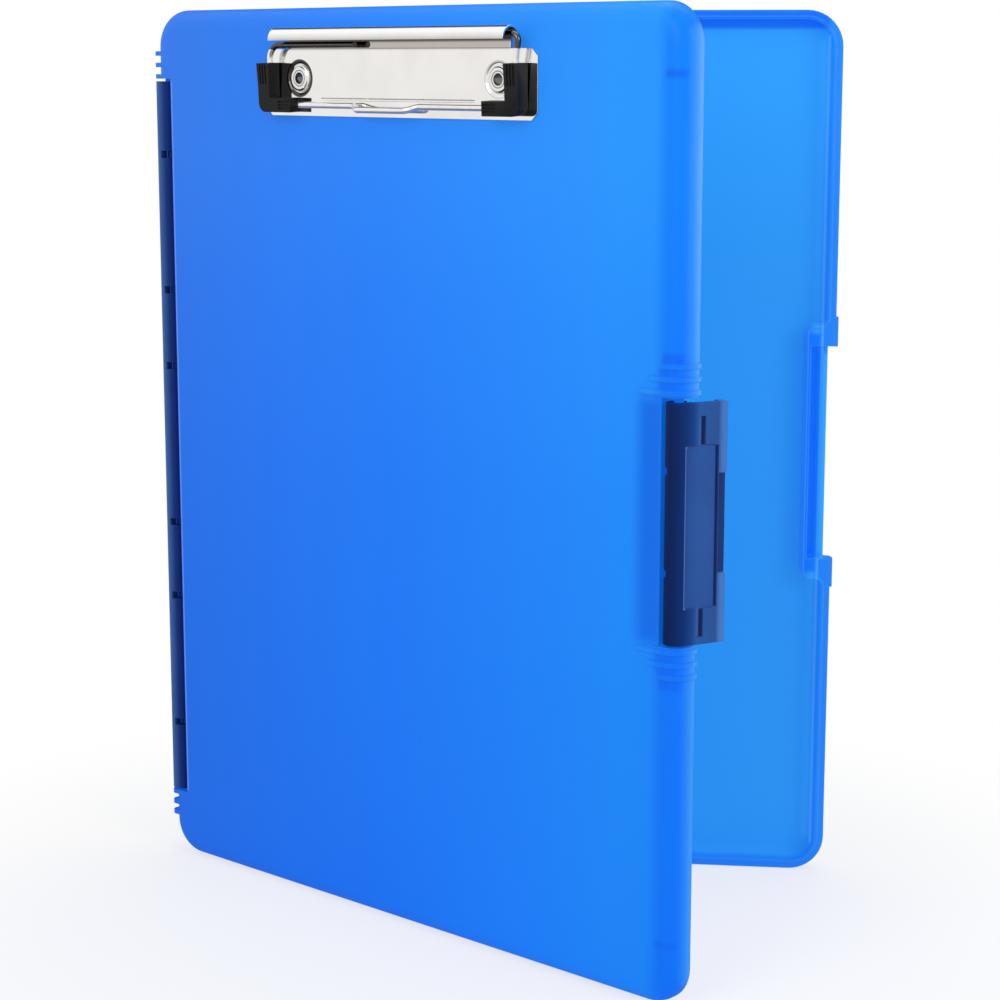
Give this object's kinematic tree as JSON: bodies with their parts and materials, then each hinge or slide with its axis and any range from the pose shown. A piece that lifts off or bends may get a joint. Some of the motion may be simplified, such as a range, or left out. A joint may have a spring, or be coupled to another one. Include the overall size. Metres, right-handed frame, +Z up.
{
  "type": "storage clipboard box",
  "caption": "Slim translucent storage clipboard: two hinged shallow trays, a snap latch on the free edge and a low-profile wire clip on the front cover.",
  "frame": {"origin": "middle of the standing box's footprint: centre of the bounding box at floor level", "axes": "+Z up along the board's long edge, +X along the tray from the hinge edge to the free edge, +Y out of the tray's outer face, away from the viewer"},
  "size_m": [0.249, 0.1536, 0.3175],
  "materials": {
    "frosted_blue": "frosted, slightly see-through, satin",
    "dark_blue": "satin, solid colour",
    "chromed_sheet": "bright mirror plating",
    "chromed_wire": "bright mirror plating",
    "black_rubber": "matte, moulded",
    "rivet_metal": "bright plating"
  },
  "bodies": {
    "tray": {"back_shell": "frosted_blue"},
    "spine": {"hinge_spine": "dark_blue"},
    "cover": {"front_shell": "frosted_blue", "clip_base_plate": "chromed_sheet", "rivet_left": "rivet_metal", "rivet_right": "rivet_metal", "washer_left": "rivet_metal", "washer_right": "rivet_metal"},
    "latch": {"latch": "dark_blue"},
    "bail": {"bail_wire": "chromed_wire", "grip_left": "black_rubber", "grip_right": "black_rubber"}
  },
  "joints": [
    {"name": "spine_on_tray", "type": "hinge", "parent": "tray", "child": "spine", "pos_m": [-0.11706, 0.07234, 0.15875], "axis": [0, 0, -1], "range_deg": [-17.65, 72.35]},
    {"name": "cover_on_spine", "type": "hinge", "parent": "spine", "child": "cover", "pos_m": [-0.11964, 0.06424, 0.15875], "axis": [0, 0, -1], "range_deg": [-17.65, 72.35]},
    {"name": "latch_on_cover", "type": "hinge", "parent": "cover", "child": "latch", "pos_m": [0.07317, -0.07246, 0.15875], "axis": [0, 0, -1], "range_deg": [-20, 40]},
    {"name": "bail_on_cover", "type": "hinge", "parent": "cover", "child": "bail", "pos_m": [-0.02627, -0.01198, 0.3067], "axis": [-0.8161, 0.5779, 0], "range_deg": [0, 75], "stiffness_Nm_per_rad": 0.12, "springref_deg": -17.19}
  ]
}
